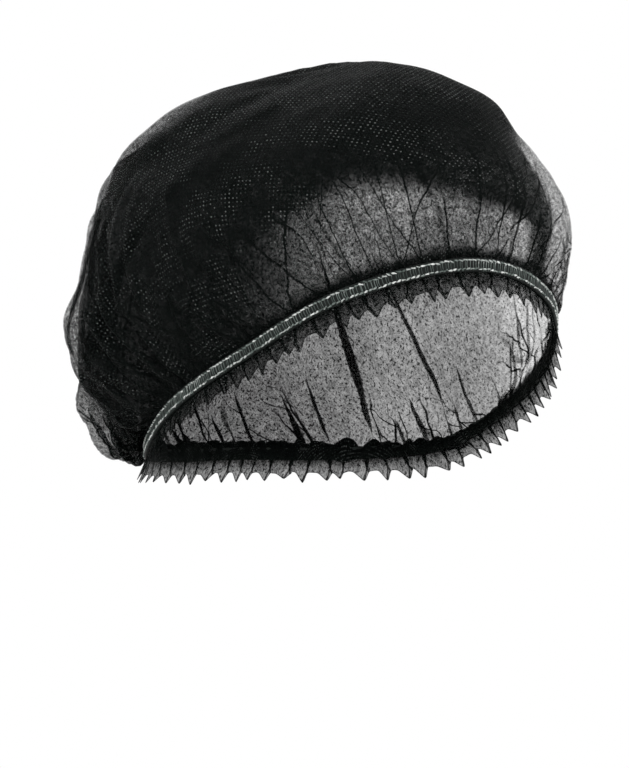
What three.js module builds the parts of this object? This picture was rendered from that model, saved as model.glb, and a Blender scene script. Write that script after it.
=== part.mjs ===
// A disposable gathered cap, in the shape that it takes when it is worn: a sheer cloth crown, an
// elastic band sewn round its rim, and the frill of cloth that is left below the seam.
// Millimetres, +Z up, the front towards -Y. The origin is the middle of the band's loop.
import * as THREE from 'three';
import { LoftGeometry } from 'three/addons/geometries/LoftGeometry.js';

// Driving dimensions
const CLOTH_WALL = 1.0; // wall of the crown and of the frill
const SEAM_GAP = 0.3; // clearance between two pieces that are sewn together
const BAND_WIDTH = 5.0; // elastic tape, up and down
const BAND_THICKNESS = 1.2; // elastic tape, in and out
const FRILL_DEPTH = 7.0; // cloth below the seam, measured straight down
const CROWN_TOP = 113.4; // highest point of the crown above the origin
const CROWN_LEAN = 15; // how far the top stands in front of the band's middle
const LIP_OUT = 2.0; // the cloth swells out this far just above the band
const LIP_UP = 3.0; // height of that swelling above the band's upper edge

// Gathers of the crown and pleats of the frill, all counted once round the rim
const GATHERS = 40;
const PLEATS = 80;
const COLUMNS = 4 * GATHERS; // a crest, a hollow and the two slopes between them
const BAND_FACETS = 80;
const GATHER_HEIGHT = 1.9; // crest of a full gather above the smooth crown

// The worn form. One row for each section, from the front (0) round to the back (180), the same on
// both sides. Each pair is a reach from the upright axis and a height: the middle of the band, the
// low fold just above it, the widest belly, the shoulder and the crown.
const SECTION_STEP = 30;
const SECTIONS = [
  { around: 0, rim: [86, 35], low: [88, 47], belly: [88.5, 58], shoulder: [77.5, 80], crown: [51.5, 102.5] },
  { around: 30, rim: [81.5, 25], low: [85.5, 37], belly: [87, 52], shoulder: [74.5, 80], crown: [50, 102.5] },
  { around: 60, rim: [74.5, 4], low: [80, 16], belly: [83, 41], shoulder: [70.5, 80], crown: [47, 102.5] },
  { around: 90, rim: [73, -14], low: [82, -3], belly: [90, 22], shoulder: [75, 80], crown: [47.5, 102.5] },
  { around: 120, rim: [75.5, -31], low: [84, -38], belly: [105, 12], shoulder: [87, 79], crown: [53, 102] },
  { around: 150, rim: [81, -35], low: [95.5, -40], belly: [117, 10], shoulder: [97, 78], crown: [59, 101.5] },
  { around: 180, rim: [84, -35], low: [101, -39], belly: [123, 10], shoulder: [101, 77], crown: [61, 101] },
];
const PLACES = ['rim', 'low', 'belly', 'shoulder', 'crown'];

// Levels up a section: the points that profile() lists, counted from the lower edge of the seam
const LEVEL = { hemFoot: 0, hemHead: 1, lip: 2, low: 3, belly: 4, shoulder: 5, crown: 6, top: 7 };

// Rows of the crown's mesh, with the share of a full gather that stands there
const CROWN_ROWS = [
  { level: LEVEL.hemFoot, gather: 0 },
  { level: LEVEL.hemHead, gather: 0 },
  { level: LEVEL.lip, gather: 0.4 },
  { level: LEVEL.low, gather: 0.9 },
  { level: LEVEL.low + 0.5, gather: 1.0 },
  { level: LEVEL.belly, gather: 0.9 },
  { level: LEVEL.belly + 0.5, gather: 0.65 },
  { level: LEVEL.shoulder, gather: 0.4 },
  { level: LEVEL.shoulder + 0.5, gather: 0.25 },
  { level: LEVEL.crown, gather: 0.15 },
  { level: LEVEL.crown + 0.5, gather: 0.05 },
  { level: LEVEL.top, gather: 0 },
];

// Puffs (out) and dents (out below nought) of the loose cloth: where each lies, in degrees from the
// front towards -X and in levels, and how wide it spreads both ways
const PUFFS = [
  { around: 82, level: 4.2, out: 1.2, spreadAround: 16, spreadLevel: 0.3 },
  { around: 118, level: 4.4, out: -2.2, spreadAround: 20, spreadLevel: 0.25 },
  { around: 121, level: 3.9, out: 3.0, spreadAround: 17, spreadLevel: 0.2 },
  { around: 121, level: 5.22, out: 2.4, spreadAround: 18, spreadLevel: 0.18 },
  { around: 122, level: 3.45, out: 2.6, spreadAround: 15, spreadLevel: 0.15 },
  { around: 128, level: 5.9, out: 1.6, spreadAround: 16, spreadLevel: 0.2 },
  { around: 165, level: 4.15, out: 3.0, spreadAround: 15, spreadLevel: 0.3 },
  { around: 200, level: 3.6, out: 3.0, spreadAround: 16, spreadLevel: 0.25 },
  { around: 232, level: 4.05, out: 2.6, spreadAround: 17, spreadLevel: 0.3 },
  { around: 262, level: 4.5, out: 1.6, spreadAround: 15, spreadLevel: 0.3 },
  { around: 282, level: 3.75, out: -3.2, spreadAround: 20, spreadLevel: 0.4 },
  { around: 300, level: 4.3, out: 0.5, spreadAround: 18, spreadLevel: 0.35 },
];

// Frill, row by row from the seam down: share of its depth, how far it stands out, half the swing
// of a pleat, and how much lower the outer fold of a pleat hangs than the inner one
const FRILL_ROWS = [
  { share: 0.0, out: 0.4, swing: 0.5, tooth: 0 },
  { share: 0.5, out: 1.2, swing: 1.5, tooth: 0.3 },
  { share: 1.0, out: 1.7, swing: 2.1, tooth: 1.0 },
];

const TURN = 2 * Math.PI;

// Outward direction at an angle from the front
function outward(around) {
  return new THREE.Vector3(-Math.sin(around), -Math.cos(around), 0);
}

// A point at a reach from the upright axis and a height
function standing(around, reach, height) {
  return outward(around).multiplyScalar(reach).setZ(height);
}

// A smooth value through four even steps, between the second and the third
function smoothBetween(before, from, to, after, share) {
  const slopeFrom = (to - before) / 2;
  const slopeTo = (after - from) / 2;
  const rise = to - from;
  const bend = slopeFrom + slopeTo - 2 * rise;
  return from + share * (slopeFrom + share * (rise - slopeFrom - bend + share * bend));
}

// Reach and height of each place of the section table, at any angle
function sectionAt(around) {
  const turned = THREE.MathUtils.radToDeg(around);
  const folded = Math.abs(THREE.MathUtils.euclideanModulo(turned + 180, 360) - 180);
  const last = SECTIONS.length - 1;
  const row = Math.min(Math.floor(folded / SECTION_STEP), last - 1);
  const share = folded / SECTION_STEP - row;
  const near = [row - 1, row, row + 1, row + 2].map((at) => SECTIONS[last - Math.abs(last - Math.abs(at))]);
  const section = {};
  for (const place of PLACES) {
    section[place] = [0, 1].map((part) => smoothBetween(...near.map((one) => one[place][part]), share));
  }
  return section;
}

// One side of the profile: from the lower edge of the seam up to the crown
function halfProfile(around) {
  const { rim, low, belly, shoulder, crown } = sectionAt(around);
  const [rimReach, rimHeight] = rim;
  const bandTop = rimHeight + BAND_WIDTH / 2;
  return [
    standing(around, rimReach, rimHeight - BAND_WIDTH / 2),
    standing(around, rimReach, bandTop),
    standing(around, rimReach + LIP_OUT, bandTop + LIP_UP),
    standing(around, ...low),
    standing(around, ...belly),
    standing(around, ...shoulder),
    standing(around, ...crown),
  ];
}

// The whole profile over the top and down the other side, so that the top is round
function profile(around) {
  const top = new THREE.Vector3(0, -CROWN_LEAN, CROWN_TOP);
  const points = [...halfProfile(around), top, ...halfProfile(around + Math.PI).reverse()];
  return new THREE.CatmullRomCurve3(points, false, 'centripetal');
}

// A point of the smooth crown, before its gathers and puffs
function smoothCrown(around, level) {
  return profile(around).getPoint(level / (2 * LEVEL.top));
}

// Outward normal of the crown: level along the sewn edge, upright at the top, and across the smooth
// surface everywhere else
function crownNormal(around, level) {
  if (level <= LEVEL.hemHead) return outward(around);
  if (level === LEVEL.top) return new THREE.Vector3(0, 0, 1);
  const step = 0.02;
  const across = smoothCrown(around + step, level).sub(smoothCrown(around - step, level));
  const up = smoothCrown(around, level + step).sub(smoothCrown(around, level - step));
  return up.cross(across).normalize();
}

// Gathers aren't even: their places wander along the rim, and some stand higher than others
function columnAngle(column) {
  const even = (TURN * column) / COLUMNS;
  return even + 0.012 * Math.sin(7 * even + 0.6) + 0.008 * Math.sin(13 * even + 2.1);
}

function gatherShare(column) {
  const wave = [1, 0, -1, 0][column % 4];
  const even = (TURN * column) / COLUMNS;
  return wave * (0.68 + 0.2 * Math.sin(5 * even + 1.3) + 0.12 * Math.sin(11 * even));
}

// All puffs and dents together, at one place of the loose cloth
function puffOut(around, level) {
  const degrees = THREE.MathUtils.radToDeg(around);
  let out = 0;
  for (const puff of PUFFS) {
    const apart = THREE.MathUtils.euclideanModulo(degrees - puff.around + 180, 360) - 180;
    const across = apart / puff.spreadAround;
    const along = (level - puff.level) / puff.spreadLevel;
    out += puff.out * Math.exp(-across * across - along * along);
  }
  return out;
}

// One ring of the crown, on its outer face (depth 0) or its inner face (depth of the wall)
function crownRing(row, depth) {
  const ring = [];
  for (let column = 0; column < COLUMNS; column += 1) {
    const around = columnAngle(column);
    const gathered = GATHER_HEIGHT * row.gather * gatherShare(column);
    const loose = row.level <= LEVEL.hemHead ? 0 : puffOut(around, row.level);
    const normal = crownNormal(around, row.level);
    ring.push(smoothCrown(around, row.level).addScaledVector(normal, gathered + loose - depth));
  }
  return ring;
}

// The crown: from the top down its outer face, round the lower edge and up its inner face. Each
// face ends in a ring that is drawn together to one point, so it closes there.
function crownGeometry() {
  const outer = CROWN_ROWS.map((row) => crownRing(row, 0)).reverse();
  const inner = CROWN_ROWS.map((row) => crownRing(row, CLOTH_WALL));
  return new LoftGeometry([...outer, ...inner], { closed: true });
}

// A closed ring round the rim, through a cross-section at each step
function rimRing(count, sectionPoints) {
  const sections = [];
  for (let step = 0; step <= count; step += 1) sections.push(sectionPoints(step % count));
  return new LoftGeometry(sections, { closed: true });
}

// The elastic band: a flat tape round the outside of the sewn cloth
function bandGeometry() {
  return rimRing(BAND_FACETS, (step) => {
    const around = (TURN * step) / BAND_FACETS;
    const [rimReach, rimHeight] = sectionAt(around).rim;
    const inside = rimReach + SEAM_GAP;
    const outside = inside + BAND_THICKNESS;
    const below = rimHeight - BAND_WIDTH / 2;
    const above = rimHeight + BAND_WIDTH / 2;
    return [
      standing(around, inside, below),
      standing(around, outside, below),
      standing(around, outside, above),
      standing(around, inside, above),
    ];
  });
}

// The frill: cloth below the seam, folded out and in from one pleat to the next
function frillGeometry() {
  return rimRing(2 * PLEATS, (step) => {
    const around = columnAngle((step * COLUMNS) / (2 * PLEATS));
    const [rimReach, rimHeight] = sectionAt(around).rim;
    const seam = rimHeight - BAND_WIDTH / 2 - SEAM_GAP;
    const fold = step % 2 === 0 ? 1 : -1;
    const face = (row, depth) => {
      const reach = rimReach + row.out + fold * row.swing - depth;
      return standing(around, reach, seam - FRILL_DEPTH * row.share - fold * row.tooth);
    };
    const outer = FRILL_ROWS.map((row) => face(row, 0));
    const inner = FRILL_ROWS.map((row) => face(row, CLOTH_WALL));
    return [...outer.reverse(), ...inner];
  });
}

function piece(name, geometry, colour, roughness) {
  const material = new THREE.MeshStandardMaterial({ color: colour, roughness, metalness: 0 });
  const mesh = new THREE.Mesh(geometry, material);
  mesh.name = name;
  return mesh;
}

const cap = new THREE.Group();
cap.add(piece('crown', crownGeometry(), 0x17191a, 0.85));
cap.add(piece('elastic_band', bandGeometry(), 0x2b2f2e, 0.7));
cap.add(piece('frill', frillGeometry(), 0x141616, 0.85));

export default cap;
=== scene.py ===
import math

import bmesh
import bpy
import numpy as np
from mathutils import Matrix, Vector, noise


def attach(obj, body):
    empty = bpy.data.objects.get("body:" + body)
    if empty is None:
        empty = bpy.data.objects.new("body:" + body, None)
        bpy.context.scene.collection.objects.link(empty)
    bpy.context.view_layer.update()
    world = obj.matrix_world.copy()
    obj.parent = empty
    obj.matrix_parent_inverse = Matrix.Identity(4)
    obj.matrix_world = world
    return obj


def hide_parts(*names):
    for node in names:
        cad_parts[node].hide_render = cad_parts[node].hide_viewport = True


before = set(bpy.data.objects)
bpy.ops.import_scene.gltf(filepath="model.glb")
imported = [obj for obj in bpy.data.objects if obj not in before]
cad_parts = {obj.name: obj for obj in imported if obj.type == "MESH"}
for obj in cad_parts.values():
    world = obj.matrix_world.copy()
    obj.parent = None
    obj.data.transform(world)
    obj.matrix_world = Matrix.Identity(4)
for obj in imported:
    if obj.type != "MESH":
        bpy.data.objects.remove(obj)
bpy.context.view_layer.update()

# The crown: one disc of thin black spunbond cloth, cut flat and drawn in all round its edge.
# It is folded into gathers under the elastic, and above them it puffs out into soft, uneven folds.
# The seam holds its edge, and the spare cloth stands out by itself.

# Lengths are in metres, except where a line says otherwise
CLOTH_WALL = 0.0003
CUT_RADIUS = 0.200  # from the disc's middle to the seam's upper edge
CUT_SPAN = 0.440  # side of the square that the map of the cut covers
TOP_SHIFT = 0.078  # from the disc's middle to the point that lies at the crown's top
SHEET_CELLS = 108  # across the disc
BAND_WIDTH = 0.005
LIP_OUT = 0.002  # first turn of the cloth, out and up from the seam
LIP_UP = 0.003
CROWN_TOP = 0.1134
CROWN_LEAN = 0.015  # of the top, towards the front
SECTION_STEP = 30  # degrees
LEVEL_SEAM = 1.0
LEVEL_TOP = 7.0
WAY_STEPS = 120
NORMAL_STEP = 0.02  # levels up, and radians round
TOP_CAP = 0.03  # levels
TINY_LENGTH = 1e-9
TINY_AREA = 1e-12

# Reach from the middle and height, both in millimetres, of each section from the front round to the back
SECTIONS = np.array([
    # rim      low         belly       shoulder    crown
    (86.0, 35, 88.0, 47, 88.5, 58, 77.5, 80, 51.5, 102.5),
    (81.5, 25, 85.5, 37, 87.0, 52, 74.5, 80, 50.0, 102.5),
    (74.5, 4, 80.0, 16, 83.0, 41, 70.5, 80, 47.0, 102.5),
    (73.0, -14, 82.0, -3, 90.0, 22, 75.0, 80, 47.5, 102.5),
    (75.5, -31, 84.0, -38, 105.0, 12, 87.0, 79, 53.0, 102.0),
    (81.0, -35, 95.5, -40, 117.0, 10, 97.0, 78, 59.0, 101.5),
    (84.0, -35, 101.0, -39, 123.0, 10, 101.0, 77, 61.0, 101.0),
]) / 1000

# Puffs and dents of the loose cloth
PUFFS = np.array([
    # around, level, out in mm, spread around, spread in levels
    (82, 4.20, 1.2, 16, 0.30),
    (118, 4.40, -3.6, 20, 0.25),
    (121, 3.90, 5.5, 17, 0.22),
    (121, 5.22, 3.6, 18, 0.18),
    (122, 3.45, 3.6, 15, 0.15),
    (128, 5.90, 1.6, 16, 0.20),
    (165, 4.15, 3.0, 15, 0.30),
    (200, 3.60, 3.0, 16, 0.25),
    (232, 4.05, 2.6, 17, 0.30),
    (262, 4.50, 1.6, 15, 0.30),
    (282, 3.75, -3.2, 20, 0.40),
    (300, 4.30, 0.5, 18, 0.35),
])


def section_at(around):
    """Reach and height of the section's points at each angle, eased between the table's rows."""
    folded = np.abs((np.degrees(around) + 180) % 360 - 180) / SECTION_STEP
    last = len(SECTIONS) - 1
    row = np.minimum(folded.astype(int), last - 1)
    share = (folded - row)[:, None]

    def near(index):
        return SECTIONS[last - np.abs(last - np.abs(index))]

    before, start, end, after = near(row - 1), near(row), near(row + 1), near(row + 2)
    leave, arrive, rise = (end - before) / 2, (after - start) / 2, end - start
    bend = leave + arrive - 2 * rise
    return start + share * (leave + share * (rise - leave - bend + share * bend))


def half_profile(around):
    """Points of the crown's section from the foot of the hem up to the crown's shoulder."""
    section = section_at(around)
    outward = np.stack([-np.sin(around), -np.cos(around)], 1)

    def stand(reach, height):
        return np.concatenate([outward * reach[:, None], height[:, None]], 1)

    reach, height = section[:, 0], section[:, 1]
    hem_top = height + BAND_WIDTH / 2
    points = [stand(reach, height - BAND_WIDTH / 2), stand(reach, hem_top)]
    points.append(stand(reach + LIP_OUT, hem_top + LIP_UP))
    for column in range(2, section.shape[1], 2):
        points.append(stand(section[:, column], section[:, column + 1]))
    return points


def whole_profile(around):
    """The section right over the top, from the hem at this angle to the hem on the far side."""
    top = np.tile([0.0, -CROWN_LEAN, CROWN_TOP], (len(around), 1))
    return np.stack(half_profile(around) + [top] + half_profile(around + np.pi)[::-1], 0)


def on_profile(points, level):
    """The place at a level of the section, on a centripetal curve through its points."""
    first = np.clip(level.astype(int), 0, len(points) - 2)
    share = (level - first)[:, None]
    each = np.arange(points.shape[1])
    start, end = points[first, each], points[first + 1, each]
    before = np.where((first > 0)[:, None], points[np.maximum(first - 1, 0), each], 2 * start - end)
    after = points[np.minimum(first + 2, len(points) - 1), each]

    def root(a, b):
        return np.sqrt(np.maximum(np.linalg.norm(b - a, axis=1), TINY_LENGTH))[:, None]

    d0, d1, d2 = root(before, start), root(start, end), root(end, after)
    leave = ((start - before) / d0 - (end - before) / (d0 + d1) + (end - start) / d1) * d1
    arrive = ((end - start) / d1 - (after - start) / (d1 + d2) + (after - end) / d2) * d1
    curve = -3 * start + 3 * end - 2 * leave - arrive
    return start + share * (leave + share * (curve + share * (2 * start - 2 * end + leave + arrive)))


def smooth_crown(around, level):
    return on_profile(whole_profile(around), level)


def level_below_top(around, share):
    """Level at a share of the way from the top down to the seam, and the length of that whole way."""
    points = whole_profile(around)
    levels = np.linspace(LEVEL_TOP, LEVEL_SEAM, WAY_STEPS + 1)
    line = np.stack([on_profile(points, np.full(len(around), level)) for level in levels], 0)
    steps = np.linalg.norm(np.diff(line, axis=0), axis=2)
    length = np.concatenate([np.zeros((1, len(around))), np.cumsum(steps, 0)], 0)
    found = [np.interp(share[i] * length[-1, i], length[:, i], levels) for i in range(len(around))]
    return np.array(found), length[-1]


def crown_normal(around, level):
    above = smooth_crown(around, np.minimum(level + NORMAL_STEP, LEVEL_TOP))
    up = above - smooth_crown(around, level - NORMAL_STEP)
    across = smooth_crown(around + NORMAL_STEP, level) - smooth_crown(around - NORMAL_STEP, level)
    normal = np.cross(up, across)
    normal /= np.maximum(np.linalg.norm(normal, axis=1), TINY_AREA)[:, None]
    normal[level > LEVEL_TOP - TOP_CAP] = (0, 0, 1)
    return normal


def puff_out(table, around, level):
    """How far the puffs of a table stand out at each place."""
    out = np.zeros(len(around))
    for middle, height, far, wide, tall in table:
        apart = (np.degrees(around) - middle + 180) % 360 - 180
        out += far / 1000 * np.exp(-(apart / wide) ** 2 - ((level - height) / tall) ** 2)
    return out


# The cut, as a square grid rounded into a disc, and the place of each of its points on the worn form
grid = np.linspace(-1, 1, SHEET_CELLS + 1)
square_x, square_y = (side.ravel() for side in np.meshgrid(grid, grid, indexing="ij"))
disc_x = square_x * np.sqrt(1 - square_y ** 2 / 2)
disc_y = square_y * np.sqrt(1 - square_x ** 2 / 2)
share_out = np.minimum(np.hypot(disc_x, disc_y), 1.0)
around = np.arctan2(-disc_x, -disc_y)


def cut_reach(angle):
    """From the point of the cut that lies at the crown's top to the edge of the cut."""
    return np.sqrt(CUT_RADIUS ** 2 - (TOP_SHIFT * np.sin(angle)) ** 2) - TOP_SHIFT * np.cos(angle)


def on_cut(angle, reach):
    return np.stack([-np.sin(angle) * reach, -np.cos(angle) * reach], 1)


flat = on_cut(around, share_out * cut_reach(around))

# The gathers leave the sloping seam square to it, so on its way up the cloth leans towards the back
LEAN_BACK = 0.26
leaned = around + LEAN_BACK * np.sin(around) * np.sin(np.pi * share_out)
level, way_down = level_below_top(leaned, share_out)
above = way_down * (1 - share_out)
backward = 0.5 - 0.5 * np.cos(leaned)

# Gathers of uneven width, height and length, numbered from the front
GATHERS = 74
GATHER_HIGH = 0.003
GATHER_HOLLOW = 0.6
GATHER_START = 0.008  # height over which a gather comes to its full size
LEAST_START = 0.15  # its share at the seam
FRONT_GATHERS = 0.45  # height at the front, as a share of that at the back
# The least size, and how much more there may be by chance
GATHER_WIDTHS = (0.4, 1.2)
GATHER_HEIGHTS = (0.5, 1.0)
GATHER_RUNS = (0.035, 0.03)


def chance_sizes(draw, count, least, more):
    return least + more * draw.random(count)


draw = np.random.default_rng(5)
gather_ends = np.cumsum(chance_sizes(draw, GATHERS, *GATHER_WIDTHS))
gather_ends = np.concatenate([[0.0], gather_ends / gather_ends[-1] * 2 * np.pi])
gather_tall = chance_sizes(draw, GATHERS, *GATHER_HEIGHTS)
gather_run = chance_sizes(draw, GATHERS, *GATHER_RUNS)
gather = np.interp(around % (2 * np.pi), gather_ends, np.arange(GATHERS + 1))
which = np.minimum(gather.astype(int), GATHERS - 1)
ridge = np.abs(np.sin(np.pi * gather)) * gather_tall[which] - GATHER_HOLLOW
fade = np.exp(-(above / gather_run[which]) ** 2) * np.clip(above / GATHER_START, LEAST_START, 1)
lift = GATHER_HIGH * (FRONT_GATHERS + (1 - FRONT_GATHERS) * backward) * fade * ridge
lift += puff_out(PUFFS, leaned, level)
worn = smooth_crown(leaned, level) + crown_normal(leaned, level) * lift[:, None]

# Loose cloth slips and swells unevenly, more to the back than at the front
SLIP = 0.006
SWELL = 0.004
SLACK_FROM = 0.004
SLACK_RISE = 0.03
FRONT_SLACK = 0.25
INSIDE = np.array([0.0, 0.01, 0.02])  # the point that the cloth swells away from
# Fineness and shift of each noise
SLIP_NOISE = (24, (3.1, 7.7, 1.3))
SWELL_NOISE = (38, (9.1, 2.7, 4.3))
GRIP_NOISE = (30, (5.1, 1.7, 8.3))
GRIP_CONTRAST = 1.1
noise.seed_set(41)
slack = np.clip((above - SLACK_FROM) / SLACK_RISE, 0, 1) * (FRONT_SLACK + (1 - FRONT_SLACK) * backward)


def noise_places(points, fineness, shift):
    return [Vector(point) * fineness + Vector(shift) for point in points]


def uneven(points, fineness, shift):
    """Smooth values by chance, above and below nought."""
    return np.array([noise.noise(place) for place in noise_places(points, fineness, shift)])


slide = np.array([noise.noise_vector(place) for place in noise_places(worn, *SLIP_NOISE)])
swell = uneven(worn, *SWELL_NOISE)
worn += slide * (SLIP * slack)[:, None]
outward = (worn - INSIDE) / np.linalg.norm(worn - INSIDE, axis=1)[:, None]
worn += outward * (SWELL * slack * swell)[:, None]
gripped = np.clip(0.5 + GRIP_CONTRAST * uneven(worn, *GRIP_NOISE), 0, 1)

# How firmly each point keeps its place: the edge is sewn, the front is drawn tight, the back is loose
HOLD_FRONT = 0.95
HOLD_BACK = 0.5
HOLD_TOP = 0.7
LEAST_GRIP = 0.12
TOP_FROM = 4.6
TOP_RISE = 1.4
EDGE_FROM = 0.99999
near_top = np.clip((level - TOP_FROM) / TOP_RISE, 0, 1)
hold = HOLD_FRONT + (HOLD_BACK - HOLD_FRONT) * backward
hold += (HOLD_TOP - hold) * near_top
hold *= 1 - slack * (1 - LEAST_GRIP) * (1 - gripped)
edge = share_out > EDGE_FROM
hold[edge] = 1.0

# The flat disc is drawn in to the worn form, then let go so that the spare cloth finds its own folds.
# It is worked at ten times its size, which suits the solver's own distances.
SIM_SCALE = 10.0
DRAWN_IN = 18
LET_GO = 26
SIM_FRAMES = 44
LYING_HIGH = 0.06
LYING_ROUGH = 0.002
HELD_FIRM = 30.0
HELD_LOOSE = 4.0
CLOTH_SETTINGS = {
    "quality": 8,
    "mass": 0.15,
    "air_damping": 3.0,
    "tension_stiffness": 60,
    "compression_stiffness": 60,
    "shear_stiffness": 10,
    "bending_stiffness": 0.15,
    "tension_damping": 5,
    "compression_damping": 5,
    "shear_damping": 5,
    "bending_damping": 0.5,
    "use_pressure": True,
    "uniform_pressure_force": 1.3,
    "vertex_group_mass": "held",
}
index = np.arange((SHEET_CELLS + 1) ** 2).reshape(SHEET_CELLS + 1, SHEET_CELLS + 1)
faces = np.stack([index[:-1, :-1], index[1:, :-1], index[1:, 1:], index[:-1, 1:]], -1).reshape(-1, 4)
lying = np.concatenate([flat, np.full((len(flat), 1), LYING_HIGH)], 1) * SIM_SCALE
lying += np.random.default_rng(3).normal(0, LYING_ROUGH, lying.shape)

disc_mesh = bpy.data.meshes.new("cut_disc")
disc_mesh.from_pydata(lying.tolist(), [], faces.tolist())
disc = bpy.data.objects.new("cut_disc", disc_mesh)
bpy.context.scene.collection.objects.link(disc)
disc.shape_key_add(name="cut", from_mix=False)
drawn_in = disc.shape_key_add(name="worn", from_mix=False)
drawn_in.data.foreach_set("co", (worn * SIM_SCALE).ravel())
for value, frame_number in ((0.0, 1), (1.0, DRAWN_IN)):
    drawn_in.value = value
    drawn_in.keyframe_insert("value", frame=frame_number)
held = disc.vertex_groups.new(name="held")
for point, weight in enumerate(hold):
    held.add([point], float(weight), "REPLACE")

cloth = disc.modifiers.new("gather", "CLOTH")
for name, value in CLOTH_SETTINGS.items():
    setattr(cloth.settings, name, value)
cloth.settings.effector_weights.gravity = 0.0
for stiffness, frame_number in ((HELD_FIRM, 1), (HELD_FIRM, DRAWN_IN + 1), (HELD_LOOSE, LET_GO)):
    cloth.settings.pin_stiffness = stiffness
    cloth.settings.keyframe_insert("pin_stiffness", frame=frame_number)
cloth.collision_settings.use_collision = False
cloth.collision_settings.use_self_collision = False
cloth.point_cache.frame_start = 1
cloth.point_cache.frame_end = SIM_FRAMES
for frame_number in range(1, SIM_FRAMES + 1):
    bpy.context.scene.frame_set(frame_number)
settled = disc.evaluated_get(bpy.context.evaluated_depsgraph_get()).data
puffed = np.empty(len(worn) * 3)
settled.vertices.foreach_get("co", puffed)
puffed = puffed.reshape(-1, 3) / SIM_SCALE
bpy.data.objects.remove(disc)
bpy.context.scene.frame_set(1)

# Where the cloth stands fuller or flatter than the solver leaves it, in the same columns as the puffs
FULLER = np.array([
    (120, 5.05, 5.0, 28, 0.22),
    (120, 5.50, 2.8, 30, 0.28),
    (125, 5.70, 2.0, 25, 0.40),
    (118, 6.05, 1.6, 35, 0.25),
    (120, 4.50, 2.3, 28, 0.30),
    (120, 4.00, 5.0, 26, 0.22),
    (120, 3.62, 4.0, 25, 0.26),
    (128, 3.00, 1.8, 25, 0.28),
    (-52, 5.60, 2.6, 40, 0.32),
    (-45, 6.20, 2.6, 60, 0.50),
    (150, 6.50, -1.8, 70, 0.35),
    (-62, 2.80, -3.6, 25, 0.60),
])
BESIDE_TOP = np.array([0.009, -0.020, 0.113])
BESIDE_TOP_HIGH = 0.002
BESIDE_TOP_WIDE = 0.018
puffed += crown_normal(leaned, level) * puff_out(FULLER, leaned, level)[:, None]
puffed[:, 2] += BESIDE_TOP_HIGH * np.exp(-((puffed - BESIDE_TOP) ** 2).sum(1) / BESIDE_TOP_WIDE ** 2)

# Small puffs with creased hollows between them, longer up the cloth than across it
PUFF_HIGH = 0.0024
PUFF_ACROSS = 0.021
PUFF_UP = 0.040
PUFF_RING = 0.085  # radius of the ring that the puffs are counted on
PUFF_TOP_RING = 0.35  # that ring's share at the crown's top
PUFF_NOISE = (1.0, (4.4, 8.8, 2.2))
FINE_PUFF_NOISE = (2.1, (7.4, 1.8, 5.2))
FINE_PUFFS = 0.5
PUFF_GAIN = 2.0
PUFF_HOLLOW = 0.55
ring_place = np.stack([-np.sin(around), -np.cos(around)], 1) * PUFF_RING / PUFF_ACROSS
ring_place *= (PUFF_TOP_RING + (1 - PUFF_TOP_RING) * share_out)[:, None]
puff_place = np.concatenate([ring_place, above[:, None] / PUFF_UP], 1)
small_puffs = np.abs(uneven(puff_place, *PUFF_NOISE))
small_puffs += FINE_PUFFS * np.abs(uneven(puff_place, *FINE_PUFF_NOISE))
outward = puffed - INSIDE
outward /= np.linalg.norm(outward, axis=1)[:, None]
puffed += outward * (PUFF_HIGH * slack * (PUFF_GAIN * small_puffs - PUFF_HOLLOW))[:, None]

# The hem goes on down behind the band, to the foot of the seam
rim = np.nonzero(edge)[0]
rim = rim[np.argsort(around[rim])]
foot = len(puffed) + np.arange(len(rim))
hem = np.stack([rim, foot, np.roll(foot, -1), np.roll(rim, -1)], 1)
faces = np.concatenate([faces, hem[:, ::-1]])
points = np.concatenate([puffed, puffed[rim] - (0, 0, BAND_WIDTH)])
cut_points = np.concatenate([flat, on_cut(around[rim], cut_reach(around[rim]) + BAND_WIDTH)])
gather_of = np.concatenate([gather, gather[rim]])
above_of = np.concatenate([above, np.full(len(rim), -BAND_WIDTH)])
level_of = np.concatenate([level, np.full(len(rim), LEVEL_SEAM)])


def bump_between(value, low, high, soft, soft_end=None):
    """Nought outside low to high and one inside, eased over soft, or over soft_end at the high end."""
    rise = np.clip((value - low) / soft + 0.5, 0, 1)
    fall = np.clip((high - value) / (soft_end or soft) + 0.5, 0, 1)
    return rise * rise * (3 - 2 * rise) * fall * fall * (3 - 2 * fall)


# Where the cloth lies close and where it is thin: it is drawn out thin over the front and at the puffs.
# A span gives its start, its end and how softly it starts, and how softly it ends where that differs.
CLOSE_CLOTH = 0.82
CLOUD_NOISE = (34, (1.7, 6.1, 2.9))
CLOUD_CONTRAST = 1.4
CLOUD_SHARE = 0.2
FRONT_THIN = 0.76
FRONT_SPAN = (-38, 50, 30, 38)
FRONT_RISE = (0.1, 1.0, 0.4)
# Angle, and height of the thin cloth above the seam
FRONT_TOP = np.array([(-20, 0.016), (0, 0.020), (30, 0.037), (60, 0.034)])
SIDES_THIN = (
    # how thin, span in degrees, span in levels
    (0.66, (105, 146, 24), (2.2, 6.4, 1.0)),
    (0.90, (-112, -22, 50, 12), (1.8, 5.2, 0.9)),
)
BACK_THIN = (
    # how thin, span in degrees
    (0.26, (95, 270, 50)),
    (0.24, (205, 290, 80)),
)
BACK_LEVELS = (1.9, 5.6, 1.2)
CLOSE_FOLD = 0.9
CLOSE_FOLD_SPAN = (-26, -18, 8)
BUNCH_RUNS = (0.003, 0.0045)
BUNCHED = 0.5
degrees = np.degrees(np.arctan2(-points[:, 0], -points[:, 1]))
cloudy = np.clip(0.5 + CLOUD_CONTRAST * uneven(points, *CLOUD_NOISE), 0, 1)
front_share = above_of / np.interp(degrees, *FRONT_TOP.T)
thin_places = [FRONT_THIN * bump_between(degrees, *FRONT_SPAN) * bump_between(front_share, *FRONT_RISE)]
for much, span, levels in SIDES_THIN:
    thin_places.append(much * bump_between(degrees, *span) * bump_between(level_of, *levels))
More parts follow.
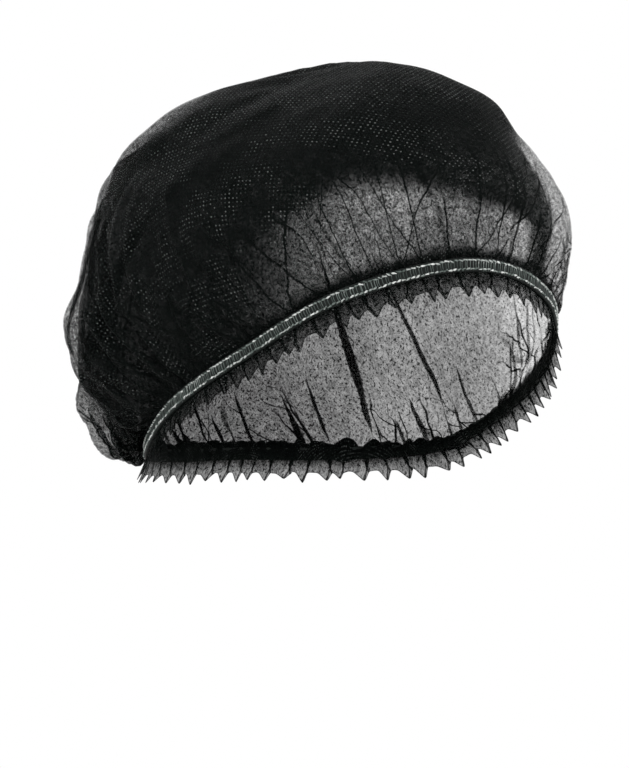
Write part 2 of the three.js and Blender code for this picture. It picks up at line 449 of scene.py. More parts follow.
back_thin = sum(much * bump_between(degrees % 360, *span) for much, span in BACK_THIN)
thin_places.append(back_thin * bump_between(level_of, *BACK_LEVELS))
thin = np.max(thin_places, 0) * (1 - CLOUD_SHARE + CLOUD_SHARE * cloudy)
thin *= 1 - CLOSE_FOLD * bump_between(degrees, *CLOSE_FOLD_SPAN)
gather_bunch = chance_sizes(draw, GATHERS, *BUNCH_RUNS)
in_gather = np.minimum(gather_of.astype(int), GATHERS - 1)
bunched = np.clip(1 - above_of / gather_bunch[in_gather], 0, 1)
closeness = np.clip(CLOSE_CLOTH - thin + BUNCHED * bunched, 0, 1)


def lay_uv(mesh, name, corner_values):
    layer = mesh.uv_layers.new(name=name)
    layer.data.foreach_set("uv", np.asarray(corner_values, np.float32).ravel())


def lay_values(mesh, name, values):
    layer = mesh.attributes.new(name, "FLOAT", "POINT")
    layer.data.foreach_set("value", values.astype(np.float32))


def sheet_mesh(name, points, faces, cut_points, gather_uv, closeness):
    """A mesh of cloth with its place on the cut, its place among the gathers and its closeness."""
    mesh = bpy.data.meshes.new(name)
    mesh.from_pydata(points.tolist(), [], faces.tolist())
    lay_uv(mesh, "cut", cut_points[faces.ravel()] / CUT_SPAN + 0.5)
    lay_uv(mesh, "gather", gather_uv)
    lay_values(mesh, "closeness", closeness)
    mesh.shade_smooth()
    sheet = bpy.data.objects.new(name, mesh)
    bpy.context.scene.collection.objects.link(sheet)
    return sheet


def finish_piece(piece, *modifiers):
    """Applies modifiers, given as kind and settings, in their order."""
    bpy.ops.object.select_all(action="DESELECT")
    piece.select_set(True)
    bpy.context.view_layer.objects.active = piece
    for kind, settings in modifiers:
        modifier = piece.modifiers.new(kind.lower(), kind)
        for name, value in settings.items():
            setattr(modifier, name, value)
        bpy.ops.object.modifier_apply(modifier=modifier.name)


# Corners of a face that spans the front, where the numbers start again, all count on from the last gather
face_gather = gather_of[faces]
spans_front = face_gather.max(1) - face_gather.min(1) > GATHERS / 2
face_gather = face_gather + GATHERS * (spans_front[:, None] & (face_gather < GATHERS / 2))
gather_uv = np.stack([face_gather / GATHERS, above_of[faces] / CUT_RADIUS], -1)
crown_cloth = sheet_mesh("crown_cloth", points, faces, cut_points, gather_uv, closeness)
finish_piece(
    crown_cloth,
    ("SUBSURF", {"levels": 1, "render_levels": 1}),
    ("SOLIDIFY", {"thickness": CLOTH_WALL, "offset": -1.0, "use_even_offset": False}),
)


def new_material(name):
    """A material, with its tree and its shader."""
    made = bpy.data.materials.new(name)
    made.use_nodes = True
    return made, made.node_tree, made.node_tree.nodes["Principled BSDF"]


def node(tree, kind, inputs=None, **settings):
    """A shader node with its settings, and its inputs as numbers or as links."""
    made = tree.nodes.new("ShaderNode" + kind)
    for name, value in settings.items():
        setattr(made, name, value)
    for socket, value in (inputs or {}).items():
        if isinstance(value, bpy.types.NodeSocket):
            tree.links.new(value, made.inputs[socket])
        else:
            made.inputs[socket].default_value = value
    return made


def maths(tree, operation, *values):
    return node(tree, "Math", dict(enumerate(values)), operation=operation).outputs[0]


def eased(tree, value, low, high, start=0.0, end=1.0):
    """Goes smoothly from start to end as value goes from low to high."""
    limits = {"Value": value, "From Min": low, "From Max": high, "To Min": start, "To Max": end}
    return node(tree, "MapRange", limits, interpolation_type="SMOOTHSTEP").outputs[0]


def grain(tree, place, scale, detail, distortion=0.0):
    inputs = {"Vector": place, "Scale": scale, "Detail": detail, "Distortion": distortion}
    return node(tree, "TexNoise", inputs).outputs["Fac"]


def two_tone(tree, share, first, second):
    inputs = {"Factor": share, "A": first, "B": second}
    return node(tree, "Mix", inputs, data_type="RGBA").outputs["Result"]


def raise_surface(tree, shader, height, strength, distance):
    bumped = node(tree, "Bump", {"Height": height, "Strength": strength, "Distance": distance})
    tree.links.new(bumped.outputs["Normal"], shader.inputs["Normal"])


CLOTH_BLACK = (0.0024, 0.0034, 0.0030, 1)
# Pale grey for the bond dots, a painted highlight that stands in for glints
BOND_PAINTED_GLINT = (0.12, 0.128, 0.124, 1)
CLOTH_SPECULAR = 0.02
CLOTH_ROUGH = 0.62
BOND_ROUGH = 0.3
BOND_PITCH = 0.0015
BOND_SIZE = 0.00031
BOND_CORE = 0.7
BOND_STRAY = 0.12
BOND_TURN = math.radians(45)
FIBRE_PITCHES = (0.0021, 0.0011)
FIBRE_CURL = 1.6
FIBRE_WIDE = 0.055
CLOUD_SIZE = 0.0034
KNOT_SIZE = 0.0012
GLINT_PATCH = 0.021
# How far creases lean to the back, in gathers for each metre up
CREASE_BACK = 65.0
CREASE_SETS = (
    # lean across, how rare, half width in gathers, strength
    (0.0, 0.0, 0.042, 1.0),
    (62.0, 0.62, 0.042, 1.0),
    (-44.0, 0.70, 0.042, 1.0),
    (-14.0, 0.70, 0.130, 0.4),
)
CREASE_CORE = 0.24
CREASE_SHORTEST = 0.02
CREASE_LONGER = 0.05
CREASE_FADE = 0.6
WANDER_SCALE = 24.0
WANDER_RISE = 0.03
WANDER_LOW = 0.1
WANDER_HIGH = 1.1
# How much of the light each thing in the cloth stops
COVER_THIN = 0.18
COVER_DENSE = 0.9
CLOUD_COVER_THIN = 0.17
CLOUD_COVER_DENSE = 0.14
FIBRE_COVER = 0.18
FIBRE_GAPS = 0.08
KNOT_COVER = 0.32
BOND_COVER = 0.14
CREASE_COVER = 0.62
LEAST_COVER = 0.04
MOST_COVER = 0.98
# How far fibres and creases stand up and bonds lie deep, in shares of the relief's height
FIBRE_RELIEF = 0.3
CREASE_RELIEF = 1.5
BOND_RELIEF = 0.6
CLOTH_RELIEF = 0.0003


def spunbond():
    """Black fibre laid at random and fused in rows of small dots, with pressed creases up from the seam,
    and highlights painted on some dots as glints.
    """
    made, tree, shader = new_material("black_spunbond")
    cut = node(tree, "UVMap", uv_map="cut").outputs["UV"]
    closeness = node(tree, "Attribute", attribute_name="closeness").outputs["Fac"]

    # Fibres lie where a wandering noise passes its middle value
    fibres = 0.0
    for pitch in FIBRE_PITCHES:
        laid = grain(tree, cut, CUT_SPAN / pitch, 3.0, FIBRE_CURL)
        off_line = maths(tree, "ABSOLUTE", maths(tree, "SUBTRACT", laid, 0.5))
        fibres = maths(tree, "ADD", fibres, eased(tree, off_line, 0.0, FIBRE_WIDE, 1.0, 0.0))
    clouds = grain(tree, cut, CUT_SPAN / CLOUD_SIZE, 4.0)
    knots = grain(tree, cut, CUT_SPAN / KNOT_SIZE, 1.0)

    # Bond dots stand in diagonal rows
    turned = node(tree, "Mapping", {"Vector": cut, "Rotation": (0, 0, BOND_TURN)}).outputs[0]
    rows = {"Vector": turned, "Scale": CUT_SPAN / BOND_PITCH, "Randomness": BOND_STRAY}
    dots = node(tree, "TexVoronoi", rows)
    dot_edge = BOND_SIZE / BOND_PITCH
    bond = eased(tree, dots.outputs["Distance"], BOND_CORE * BOND_SIZE / BOND_PITCH, dot_edge, 1.0, 0.0)
    chance = node(tree, "SeparateColor", {"Color": dots.outputs["Color"]}).outputs[0]

    # Creases run up from between the gathers, wander, and end at different heights
    gather_map = node(tree, "UVMap", uv_map="gather").outputs["UV"]
    gather_place = node(tree, "SeparateXYZ", {"Vector": gather_map})
    height = maths(tree, "MULTIPLY", gather_place.outputs[1], CUT_RADIUS)
    solid_place = node(tree, "TexCoord").outputs["Object"]
    wander = maths(tree, "SUBTRACT", grain(tree, solid_place, WANDER_SCALE, 3.0), 0.5)
    wander = maths(tree, "MULTIPLY", wander, eased(tree, height, 0.0, WANDER_RISE, WANDER_LOW, WANDER_HIGH))
    straight = maths(tree, "MULTIPLY", gather_place.outputs[0], float(GATHERS))
    straight = maths(tree, "ADD", straight, wander)
    sideways = maths(tree, "SINE", maths(tree, "MULTIPLY", gather_place.outputs[0], 2 * math.pi))
    sideways = maths(tree, "MULTIPLY", height, sideways)
    straight = maths(tree, "MULTIPLY_ADD", sideways, -CREASE_BACK, straight)
    crease = 0.0
    for lean, rare, wide, strength in CREASE_SETS:
        number = maths(tree, "MULTIPLY_ADD", height, lean, straight)
        nearest = maths(tree, "ROUND", number)
        off_crease = maths(tree, "ABSOLUTE", maths(tree, "SUBTRACT", number, nearest))
        seed = maths(tree, "ADD", maths(tree, "FLOORED_MODULO", nearest, float(GATHERS)), lean)
        luck = node(tree, "TexWhiteNoise", {"W": seed}, noise_dimensions="1D").outputs["Value"]
        length = maths(tree, "MULTIPLY_ADD", luck, CREASE_LONGER, CREASE_SHORTEST)
        ended = maths(tree, "DIVIDE", height, length)
        line = eased(tree, off_crease, CREASE_CORE * wide, wide, strength, 0.0)
        line = maths(tree, "MULTIPLY", line, eased(tree, ended, CREASE_FADE, 1.0, 1.0, 0.0))
        line = maths(tree, "MULTIPLY", line, maths(tree, "GREATER_THAN", luck, rare))
        crease = maths(tree, "ADD", crease, line)

    cover = eased(tree, closeness, 0.0, 1.0, COVER_THIN, COVER_DENSE)
    patchy = maths(tree, "SUBTRACT", eased(tree, clouds, 0.3, 0.7), 0.5)
    cloud_cover = eased(tree, closeness, 0.1, 0.6, CLOUD_COVER_THIN, CLOUD_COVER_DENSE)
    cover = maths(tree, "MULTIPLY_ADD", patchy, cloud_cover, cover)
    cover = maths(tree, "MULTIPLY_ADD", fibres, FIBRE_COVER, maths(tree, "SUBTRACT", cover, FIBRE_GAPS))
    cover = maths(tree, "MULTIPLY_ADD", eased(tree, knots, 0.56, 0.66), KNOT_COVER, cover)
    cover = maths(tree, "MULTIPLY_ADD", bond, BOND_COVER, cover)
    cover = maths(tree, "MULTIPLY_ADD", crease, CREASE_COVER, cover)
    cover = node(tree, "Clamp", {"Value": cover, "Min": LEAST_COVER, "Max": MOST_COVER}).outputs[0]
    tree.links.new(cover, shader.inputs["Alpha"])

    # Painted highlights: the dots are made pale in patches, some more than others, as glints painted into
    # the base colour
    painted_lit_patches = grain(tree, cut, CUT_SPAN / GLINT_PATCH, 2.0)
    painted_glint = maths(tree, "MULTIPLY", eased(tree, chance, 0.2, 1.0), eased(tree, painted_lit_patches, 0.42, 0.62))
    painted_glint = maths(tree, "MULTIPLY", bond, painted_glint)
    tree.links.new(two_tone(tree, painted_glint, CLOTH_BLACK, BOND_PAINTED_GLINT), shader.inputs["Base Color"])
    tree.links.new(eased(tree, bond, 0.0, 1.0, CLOTH_ROUGH, BOND_ROUGH), shader.inputs["Roughness"])
    shader.inputs["Specular IOR Level"].default_value = CLOTH_SPECULAR
    relief = maths(tree, "MULTIPLY", crease, CREASE_RELIEF)
    relief = maths(tree, "MULTIPLY_ADD", fibres, FIBRE_RELIEF, relief)
    relief = maths(tree, "SUBTRACT", relief, maths(tree, "MULTIPLY", bond, BOND_RELIEF))
    raise_surface(tree, shader, relief, 0.5, CLOTH_RELIEF)
    return made


black_spunbond = spunbond()
crown_cloth.data.materials.append(black_spunbond)
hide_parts("crown")
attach(crown_cloth, "root")

# The elastic band: a narrow ribbed tape, woven of rubber and dark yarn, sewn outside the gathered edge.
# It runs once round the cap under the rows of stitches, and its ribs stand across it.

BAND_GAP = 0.0003
BAND_THICK = 0.0012
BAND_ROUNDING = 0.35  # of its thickness
RIB_PITCH = 0.00105
RIB_HIGH = 0.00018
RIB_HALF = 0.3  # of the pitch
OUTER_FACE = 0.3  # of the thickness
SEAM_STEPS = 720
TURN_STEP = 0.02  # radians
STRAIGHT = 0.9  # least share of an edge or a normal that lies along X
MERGE_NEAR = 0.00002


def seam_at(turn):
    """Places on the seam's middle line at angles round the cap."""
    section = section_at(turn)
    reach, height = section[:, 0], section[:, 1]
    return np.stack([-np.sin(turn) * reach, -np.cos(turn) * reach, height], 1)


seam_turn = np.linspace(0, 2 * np.pi, SEAM_STEPS + 1)
seam_steps = np.linalg.norm(np.diff(seam_at(seam_turn), axis=0), axis=1)
seam_way = np.concatenate([[0], np.cumsum(seam_steps)])
SEAM_LENGTH = seam_way[-1]


def seam_angle(along):
    """Angle round the cap at a distance along the seam from the front."""
    laps = np.floor(along / SEAM_LENGTH)
    return np.interp(along - laps * SEAM_LENGTH, seam_way, seam_turn) + laps * 2 * np.pi


def beside_seam(along, out, up):
    """Places at a distance along the seam, out from it and up across it."""
    angle = seam_angle(along)
    place = seam_at(angle)
    ahead = seam_at(angle + TURN_STEP) - seam_at(angle - TURN_STEP)
    ahead /= np.linalg.norm(ahead, axis=1)[:, None]
    outward = np.stack([ahead[:, 1], -ahead[:, 0], np.zeros(len(angle))], 1)
    outward /= np.linalg.norm(outward, axis=1)[:, None]
    outward *= np.sign((outward * place).sum(1))[:, None]
    upward = np.cross(ahead, outward)
    upward *= np.sign(upward[:, 2])[:, None]
    return place + outward * out[:, None] + upward * up[:, None]


def points_of(mesh):
    found = np.empty(len(mesh.vertices) * 3, np.float32)
    mesh.vertices.foreach_get("co", found)
    return found.reshape(-1, 3).astype(float)


def pick(piece, kind, wanted):
    """In edit mode, selects the vertices, edges or faces of a piece that answer wanted."""
    bpy.ops.mesh.select_mode(type=kind)
    bpy.ops.mesh.select_all(action="DESELECT")
    shape = bmesh.from_edit_mesh(piece.data)
    items = {"VERT": shape.verts, "EDGE": shape.edges, "FACE": shape.faces}[kind]
    for item in items:
        item.select_set(wanted(item))
    shape.select_flush_mode()
    bmesh.update_edit_mesh(piece.data)


def runs_along(edge):
    """True for an edge that lies along X."""
    start, end = (corner.co for corner in edge.verts)
    return abs(start.x - end.x) > STRAIGHT * (start - end).length


def on_rib(corner):
    """True for a corner of the tape's outer face near the middle of the rib."""
    off_middle = abs(corner.co.x - rib_step / 2)
    return off_middle < RIB_HALF * rib_step and corner.co.y > OUTER_FACE * BAND_THICK


rib_count = round(SEAM_LENGTH / RIB_PITCH)
rib_step = SEAM_LENGTH / rib_count
bpy.ops.object.select_all(action="DESELECT")
bpy.ops.mesh.primitive_cube_add(size=1.0, location=(rib_step / 2, 0, 0))
band_tape = bpy.context.object
band_tape.name = "band_tape"
band_tape.scale = (rib_step, BAND_THICK, BAND_WIDTH)
bpy.ops.object.transform_apply(location=True, rotation=True, scale=True)
bpy.ops.object.mode_set(mode="EDIT")
pick(band_tape, "FACE", lambda face: abs(face.normal.x) > STRAIGHT)
bpy.ops.mesh.delete(type="ONLY_FACE")
pick(band_tape, "EDGE", runs_along)
bpy.ops.mesh.bevel(offset=BAND_ROUNDING * BAND_THICK, segments=2, profile=0.6)
pick(band_tape, "EDGE", runs_along)
bpy.ops.mesh.subdivide(number_cuts=3)
pick(band_tape, "VERT", on_rib)
bpy.ops.transform.translate(value=(0, RIB_HIGH, 0))
bpy.ops.object.mode_set(mode="OBJECT")
finish_piece(
    band_tape,
    ("ARRAY", {
        "count": rib_count,
        "use_relative_offset": False,
        "use_constant_offset": True,
        "constant_offset_displace": (rib_step, 0, 0),
        "use_merge_vertices": True,
        "merge_threshold": MERGE_NEAR,
    }),
)
straight = points_of(band_tape.data)
round_cap = beside_seam(straight[:, 0], straight[:, 1] + BAND_GAP + BAND_THICK / 2, straight[:, 2])
band_tape.data.vertices.foreach_set("co", round_cap.astype(np.float32).ravel())
bpy.ops.object.mode_set(mode="EDIT")
bpy.ops.mesh.select_all(action="SELECT")
bpy.ops.mesh.remove_doubles(threshold=MERGE_NEAR)
bpy.ops.mesh.normals_make_consistent(inside=False)
bpy.ops.object.mode_set(mode="OBJECT")
band_tape.data.shade_smooth()

TAPE_DARK = (0.0018, 0.0030, 0.0025, 1)
TAPE_LIGHT = (0.009, 0.0135, 0.0115, 1)
TAPE_SPECULAR = 0.2
TAPE_RELIEF = 0.0002
YARN_SCALE = 2600.0
WEAR_SCALE = 160.0


def ribbed_elastic():
    """Dark green-black yarn over rubber, with a soft shine on the ribs."""
    made, tree, shader = new_material("ribbed_elastic")
    place = node(tree, "TexCoord").outputs["Object"]
    yarn = grain(tree, place, YARN_SCALE, 3.0)
    wear = grain(tree, place, WEAR_SCALE, 2.0)
    light = eased(tree, maths(tree, "MULTIPLY", yarn, wear), 0.15, 0.42)
    tree.links.new(two_tone(tree, light, TAPE_DARK, TAPE_LIGHT), shader.inputs["Base Color"])
    tree.links.new(eased(tree, yarn, 0.3, 0.7, 0.42, 0.7), shader.inputs["Roughness"])
    shader.inputs["Specular IOR Level"].default_value = TAPE_SPECULAR
    raise_surface(tree, shader, yarn, 0.4, TAPE_RELIEF)
    return made


band_tape.data.materials.append(ribbed_elastic())
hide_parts("elastic_band")
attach(band_tape, "root")

# The seam threads: pale polyester thread, with which a machine sews the tape to the cloth.
# Two rows of short stitches run along the tape's edges, and loops cross the ribs from row to row.

THREAD_SIDES = 6
THREAD_TIP = 0.12
THREAD_OUT = BAND_GAP + BAND_THICK + RIB_HIGH
ROW_HEIGHT = 0.00155  # of each row, from the tape's middle line


def thread_piece(name, radius, length, rings):
    """A short length of thread along X, thinner at its ends."""
    bpy.ops.object.select_all(action="DESELECT")
    bpy.ops.mesh.primitive_cylinder_add(
        vertices=THREAD_SIDES, radius=radius, depth=length, rotation=(0, math.pi / 2, 0))
    piece = bpy.context.object
    piece.name = name
    bpy.ops.object.transform_apply(location=True, rotation=True, scale=True)
    bpy.ops.object.mode_set(mode="EDIT")
    pick(piece, "EDGE", runs_along)
    bpy.ops.mesh.subdivide(number_cuts=rings)
    bpy.ops.object.mode_set(mode="OBJECT")
    shape = points_of(piece.data)
    taper = np.sqrt(np.maximum(1 - (2 * shape[:, 0] / length) ** 2, THREAD_TIP))
    shape[:, 1:] *= taper[:, None]
    sides = [tuple(face.vertices) for face in piece.data.polygons]
    bpy.data.objects.remove(piece)
    return shape, sides


def sewn(name, lengths):
    """Joins placed lengths of thread, given as points, sides and shade, in one piece."""
    points, faces, shades = [], [], []
    start = 0
    for place, sides, shade in lengths:
        points.append(place)
        faces.extend(tuple(corner + start for corner in side) for side in sides)
        shades.append(np.broadcast_to(np.float32(shade), len(place)))
        start += len(place)
    mesh = bpy.data.meshes.new(name)
    mesh.from_pydata(np.concatenate(points).tolist(), [], faces)
    lay_values(mesh, "shade", np.concatenate(shades))
    mesh.shade_smooth()
    piece = bpy.data.objects.new(name, mesh)
    bpy.context.scene.collection.objects.link(piece)
    return piece


# Stitches of two plies that twist round each other
STITCH_PITCH = 0.0017
STITCH_LONG = 1.1  # of the pitch
STITCH_ARCH = 0.00012
STITCH_LEAN = 0.2
STITCH_LEAN_SPREAD = 0.16
STITCH_STRAY = 0.0001
STITCH_STRETCH = (0.75, 1.15)
STITCH_LIGHT = 0.1
STITCH_LIGHT_POWER = 1.4
STITCH_DRIFT = 0.3
STITCH_DRIFT_SCALE = 60
PLY_WIDE = 0.00042
PLY_APART = 0.00017
PLY_LIGHT_SPREAD = 0.18
draw = np.random.default_rng(11)
stitch_shape, stitch_sides = thread_piece("stitch", PLY_WIDE / 2, STITCH_LONG * STITCH_PITCH, 3)
stitch_count = round(SEAM_LENGTH / STITCH_PITCH)
stitches = []
for row in (-1, 1):
    for number in range(stitch_count):
        middle_along = (number + 0.5 * (row > 0)) * SEAM_LENGTH / stitch_count
        lean = STITCH_LEAN * row + draw.normal(0, STITCH_LEAN_SPREAD)
        height = row * ROW_HEIGHT + draw.normal(0, STITCH_STRAY)
        stretch = draw.uniform(*STITCH_STRETCH)
        drift = noise.noise(Vector((middle_along * STITCH_DRIFT_SCALE, 2.3, row)))
        light = STITCH_LIGHT + draw.random() ** STITCH_LIGHT_POWER + STITCH_DRIFT * drift
        twist_start = draw.uniform(0, 2 * math.pi)
        for ply in (-1, 1):
            x, y, z = stitch_shape.T
            x = x * stretch
            twist = twist_start + math.pi * x / STITCH_PITCH
            arch = STITCH_ARCH * (1 - (2 * x / STITCH_PITCH) ** 2)
            y = y + ply * PLY_APART * np.cos(twist) + arch
            z = z + ply * PLY_APART * np.sin(twist)
            along = middle_along + x * math.cos(lean) - z * math.sin(lean)
            up = height + x * math.sin(lean) + z * math.cos(lean)
            shade = light + draw.normal(0, PLY_LIGHT_SPREAD)
            stitches.append((beside_seam(along, THREAD_OUT + y, up), stitch_sides, shade))

# Loops from row to row, paler at their ends, some with a tail below the lower row
LOOP_PITCH = 0.00106
LOOP_WIDE = 0.00036
LOOP_LONG = 1.9  # of the rows' height
LOOP_TAIL = 0.0011
LOOP_BOW = 0.00032
LOOP_BOW_SPREAD = 0.0001
LOOP_STRAY = 0.00016
LOOP_SINK = 0.00006
LOOP_STRETCH = (0.92, 1.25)
LOOP_DARK = 0.5
LOOP_LIGHT = 0.6
LOOP_DRIFT = 0.5
LOOP_DRIFT_SCALE = 45
LOOP_TOP_LIGHT = 0.3
LOOP_END_LIGHT = 0.35
loop_shape, loop_sides = thread_piece("loop", LOOP_WIDE / 2, LOOP_LONG * ROW_HEIGHT, 5)
loop_count = round(SEAM_LENGTH / LOOP_PITCH)
for number in range(loop_count):
    middle_along = number * SEAM_LENGTH / loop_count
    bow = (LOOP_BOW + LOOP_BOW_SPREAD * draw.normal()) * (1 if number % 2 else 0.5)
    x, y, z = loop_shape.T
    curve = bow * (1 - (x / ROW_HEIGHT) ** 2)
    along = middle_along + y + curve + LOOP_STRAY * draw.normal()
    up = x * draw.uniform(*LOOP_STRETCH)
    up = up - np.maximum(-x / ROW_HEIGHT, 0) ** 2 * LOOP_TAIL * draw.random() ** 2
    drift = noise.noise(Vector((middle_along * LOOP_DRIFT_SCALE, 0.3, 0.7)))
    brighter = LOOP_DRIFT * drift + LOOP_TOP_LIGHT * x / ROW_HEIGHT
    brighter = brighter + LOOP_END_LIGHT * (x / ROW_HEIGHT) ** 2
    shade = LOOP_LIGHT * draw.random() - LOOP_DARK + brighter
    stitches.append((beside_seam(along, THREAD_OUT - LOOP_SINK + z, up), loop_sides, shade))
seam_threads = sewn("seam_threads", stitches)

THREAD_DARK = (0.010, 0.020, 0.016, 1)
THREAD_GREY = (0.135, 0.168, 0.152, 1)
THREAD_PALE = (0.78, 0.80, 0.78, 1)
THREAD_RELIEF = 0.0001
TWIST_SCALE = 1900.0
TWIST_LIGHT = 0.9


def pale_thread():
    """Pale grey polyester, uneven where the dark cloth shows through the twist."""
    made, tree, shader = new_material("pale_thread")
    shade = node(tree, "Attribute", attribute_name="shade").outputs["Fac"]
    place = node(tree, "TexCoord").outputs["Object"]
    twist = grain(tree, place, TWIST_SCALE, 2.0)
    light = maths(tree, "MULTIPLY_ADD", twist, TWIST_LIGHT, -TWIST_LIGHT / 2)
    light = maths(tree, "ADD", shade, light)
    colour = node(tree, "ValToRGB", {"Fac": eased(tree, light, -0.7, 1.2)})
    stops = colour.color_ramp.elements
    stops[0].color = THREAD_DARK
    stops[1].color = THREAD_PALE
    half = stops.new(0.5)
    half.color = THREAD_GREY
    tree.links.new(colour.outputs["Color"], shader.inputs["Base Color"])
    tree.links.new(eased(tree, twist, 0.3, 0.7, 0.4, 0.65), shader.inputs["Roughness"])
    raise_surface(tree, shader, twist, 0.35, THREAD_RELIEF)
    return made


seam_threads.data.materials.append(pale_thread())
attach(seam_threads, "root")

# The frill: the last strip of the same disc of cloth, left free below the seam.
# The gathers press it into leaning pleats, and its cut edge stands in small sharp teeth.

PLEATS = 72
PLEAT_STEPS = 14
FRILL_TOP = -0.0022  # from the seam's middle line
FRILL_DEEP = 0.0064
FRILL_WALL = 0.7 * CLOTH_WALL
FRILL_SHARES = np.array([0.0, 0.16, 0.34, 0.52, 0.70, 0.86, 0.955, 1.0])
FLARE = 0.0004
FLARE_MORE = 0.0013
OPENING_POWER = 1.8
PRESSED_DEPTH = 0.35  # of the depth that the pleat has at the cut edge
TOOTH_POWER = 1.5
TOOTH_VALLEY = 0.35  # how far the edge rises between teeth, in shares of a tooth
# The least size, and how much more there may be by chance
PLEAT_WIDTHS = (0.65, 0.7)
PLEAT_DEPTHS = (0.0012, 0.0018)
PLEAT_TEETH = (0.0018, 0.0020)
PLEAT_SWING = 0.0012
# One pleat from valley to valley, pressed flat under the seam and standing open at the cut edge
PRESSED = np.array([
    # along, out
    (0.00, 0.00),
    (0.25, 0.03),
    (0.50, 0.06),
    (0.80, 0.30),
    (1.02, 0.34),
    (0.80, 0.22),
    (0.72, 0.06),
    (1.00, 0.00),
])
OPEN = np.array([
    (0.00, 0.00),
    (0.12, 0.01),
    (0.24, 0.07),
    (0.45, 0.52),
    (0.66, 1.00),
    (0.78, 0.54),
    (0.90, 0.08),
    (1.00, 0.00),
])
FINE_STEPS = 240
FOLD_ROUNDING = 17  # fine steps
FOLD_OVERLAP = 24
# Where the two folds lie on the pleat's path, and how close the cloth is there and between them
TIP_FOLD = 4 / 7
ROOT_FOLD = 6 / 7
FOLD_WIDE = 0.045
FOLD_CLOSE = 0.95
FACET_CLOSE = 0.50
FACET_CLOSER = 0.34
TIP_WIDE = 0.17
TIP_SHEER = 0.16
CUT_EDGE_FROM = 0.97
CUT_EDGE_CLOSE = 0.85
NO_CREASE = (0.5 / GATHERS, 0.9)

draw = np.random.default_rng(23)
pleat_widths = chance_sizes(draw, PLEATS, *PLEAT_WIDTHS)
pleat_starts = np.concatenate([[0], np.cumsum(pleat_widths)]) / pleat_widths.sum() * SEAM_LENGTH
pleat_deep = chance_sizes(draw, PLEATS, *PLEAT_DEPTHS)
pleat_tooth = chance_sizes(draw, PLEATS, *PLEAT_TEETH)
pleat_swing = draw.normal(0, PLEAT_SWING, PLEATS)
path = np.linspace(0, 1, PLEAT_STEPS + 1)[:-1]


def eased_path(table):
    """The pleat's path with its folds a little rounded."""
    fine = np.linspace(0, 1, FINE_STEPS + 1)
    corners = np.linspace(0, 1, len(table))
    line = np.stack([np.interp(fine, corners, column) for column in table.T], 1)
    window = np.ones(FOLD_ROUNDING) / FOLD_ROUNDING
    last, following = line[-FOLD_OVERLAP - 1:-1] - (1, 0), line[1:FOLD_OVERLAP + 1] + (1, 0)
    wrapped = np.concatenate([last, line, following])
    smooth = np.stack([np.convolve(column, window, "same") for column in wrapped.T], 1)
    smooth = smooth[FOLD_OVERLAP:-FOLD_OVERLAP]
    return np.stack([np.interp(path, fine, column) for column in smooth.T], 1)


pressed, standing = eased_path(PRESSED), eased_path(OPEN)
wide = np.diff(pleat_starts)
cut_angle = seam_angle((pleat_starts[:-1, None] + wide[:, None] * path[None, :]).ravel())
folded = np.exp(-((path - TIP_FOLD) / FOLD_WIDE) ** 2) + np.exp(-((path - ROOT_FOLD) / FOLD_WIDE) ** 2)
frill_points, frill_cut, frill_closeness = [], [], []
for share in FRILL_SHARES:
    shape = pressed + (standing - pressed) * share ** OPENING_POWER
    along = pleat_starts[:-1, None] + wide[:, None] * shape[None, :, 0] + pleat_swing[:, None] * share
    depth = pleat_deep[:, None] * shape[None, :, 1] * (PRESSED_DEPTH + (1 - PRESSED_DEPTH) * share)
    out = FLARE + FLARE_MORE * share + depth
    tooth = (1 + TOOTH_VALLEY) * shape[None, :, 1] - TOOTH_VALLEY
    up = FRILL_TOP - FRILL_DEEP * share - pleat_tooth[:, None] * tooth * share ** TOOTH_POWER
    frill_points.append(beside_seam(along.ravel(), out.ravel(), up.ravel()))
    frill_cut.append(on_cut(cut_angle, cut_reach(cut_angle) + BAND_WIDTH + FRILL_DEEP * share))
    facet = CUT_EDGE_CLOSE if share > CUT_EDGE_FROM else FACET_CLOSE + FACET_CLOSER * (1 - share) ** 2
    sheer = TIP_SHEER * (np.exp(-((path - TIP_FOLD) / TIP_WIDE) ** 2) * share)
    frill_closeness.append(np.tile(np.maximum(FOLD_CLOSE * folded, facet - sheer), PLEATS))
across_frill = PLEATS * PLEAT_STEPS
ring = np.arange(across_frill)
frill_faces = []
for row in range(len(FRILL_SHARES) - 1):
    upper, lower = ring + row * across_frill, ring + (row + 1) * across_frill
    frill_faces.append(np.stack([upper, lower, np.roll(lower, -1), np.roll(upper, -1)], 1))
frill_faces = np.concatenate(frill_faces)
frill_cloth = sheet_mesh(
    "frill_cloth", np.concatenate(frill_points), frill_faces, np.concatenate(frill_cut),
    np.tile(NO_CREASE, (frill_faces.size, 1)), np.concatenate(frill_closeness))
finish_piece(
    frill_cloth,
    ("SUBSURF", {"levels": 1, "render_levels": 1}),
    ("SOLIDIFY", {"thickness": FRILL_WALL, "offset": 0.0, "use_even_offset": False}),
)
frill_cloth.data.materials.append(black_spunbond)
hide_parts("frill")
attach(frill_cloth, "root")

# The studio: a pale floor far below, soft light from all round, and the camera level with the seam.
# The floor fades out towards its edge, so that it has no line against the white.

FLOOR_DOWN = 0.80
FLOOR_RADIUS = 2.0
FLOOR_SIDES = 96
FLOOR_FADE = (1.0, 2.05)  # from the cap's middle
FLOOR_PALE = (0.86, 0.86, 0.85, 1)
FLOOR_ROUGH = 0.8

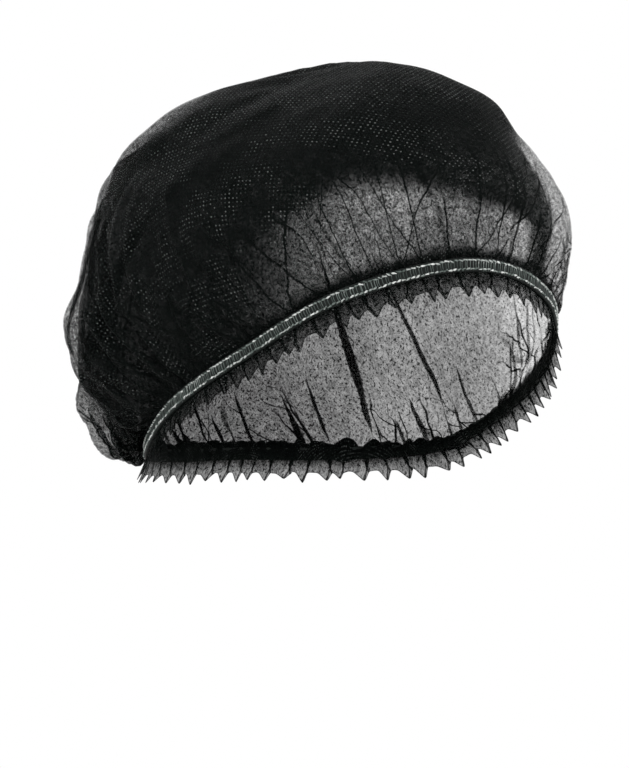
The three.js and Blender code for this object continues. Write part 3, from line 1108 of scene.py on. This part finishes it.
bpy.ops.object.select_all(action="DESELECT")
bpy.ops.mesh.primitive_circle_add(
    vertices=FLOOR_SIDES, radius=FLOOR_RADIUS, fill_type="NGON", location=(0, 0, -FLOOR_DOWN))
floor = bpy.context.object
floor.name = "studio_floor"
bpy.ops.object.transform_apply(location=True, rotation=True, scale=True)
pale_floor, floor_tree, floor_shader = new_material("pale_floor")
floor_shader.inputs["Base Color"].default_value = FLOOR_PALE
floor_shader.inputs["Roughness"].default_value = FLOOR_ROUGH
floor_place = node(floor_tree, "TexCoord").outputs["Object"]
floor_reach = node(floor_tree, "VectorMath", {0: floor_place}, operation="LENGTH").outputs["Value"]
faded = node(floor_tree, "MixShader", {0: eased(floor_tree, floor_reach, *FLOOR_FADE)})
floor_tree.links.new(floor_shader.outputs[0], faded.inputs[1])
floor_tree.links.new(node(floor_tree, "BsdfTransparent").outputs[0], faded.inputs[2])
floor_tree.links.new(faded.outputs[0], floor_tree.nodes["Material Output"].inputs["Surface"])
floor.data.materials.append(pale_floor)

scene = bpy.context.scene
scene.world = bpy.data.worlds.new("studio")
scene.world.use_nodes = True
scene.world.node_tree.nodes["Background"].inputs["Color"].default_value = (1, 1, 1, 1)
scene.world.node_tree.nodes["Background"].inputs["Strength"].default_value = 1.0
scene.view_settings.view_transform = "Standard"
scene.cycles.transparent_max_bounces = 32

VIEW_TURN = math.radians(30)
VIEW_FAR = 1.1
AIM_RIGHT = -0.0130
AIM_UP = -0.00694
LENS_MM = 136.8
right = Vector((math.cos(VIEW_TURN), -math.sin(VIEW_TURN), 0))
towards = Vector((math.sin(VIEW_TURN), math.cos(VIEW_TURN), 0))
aim = right * AIM_RIGHT + Vector((0, 0, AIM_UP))

SOFT_LIGHTS = (
    # name, away from the camera, to its right, up, size across, power in watts
    ("key_light", -1.1, -1.2, 1.2, 0.8, 9),
    ("fill_light", -1.2, 1.4, 0.5, 1.0, 4),
    ("back_light", 1.3, -0.5, 1.3, 0.9, 4),
)
for name, away, aside, up, size, power in SOFT_LIGHTS:
    lamp = bpy.data.objects.new(name, bpy.data.lights.new(name, "AREA"))
    lamp.data.shape = "DISK"
    lamp.data.size = size
    lamp.data.energy = power
    lamp.location = aim + towards * away + right * aside + Vector((0, 0, up))
    lamp.rotation_euler = (aim - lamp.location).to_track_quat("-Z", "Y").to_euler()
    scene.collection.objects.link(lamp)

camera = bpy.data.objects.new("photo_camera", bpy.data.cameras.new("photo_camera"))
camera.data.lens = LENS_MM
camera.location = aim - towards * VIEW_FAR
camera.rotation_euler = towards.to_track_quat("-Z", "Y").to_euler()
scene.collection.objects.link(camera)
scene.camera = camera

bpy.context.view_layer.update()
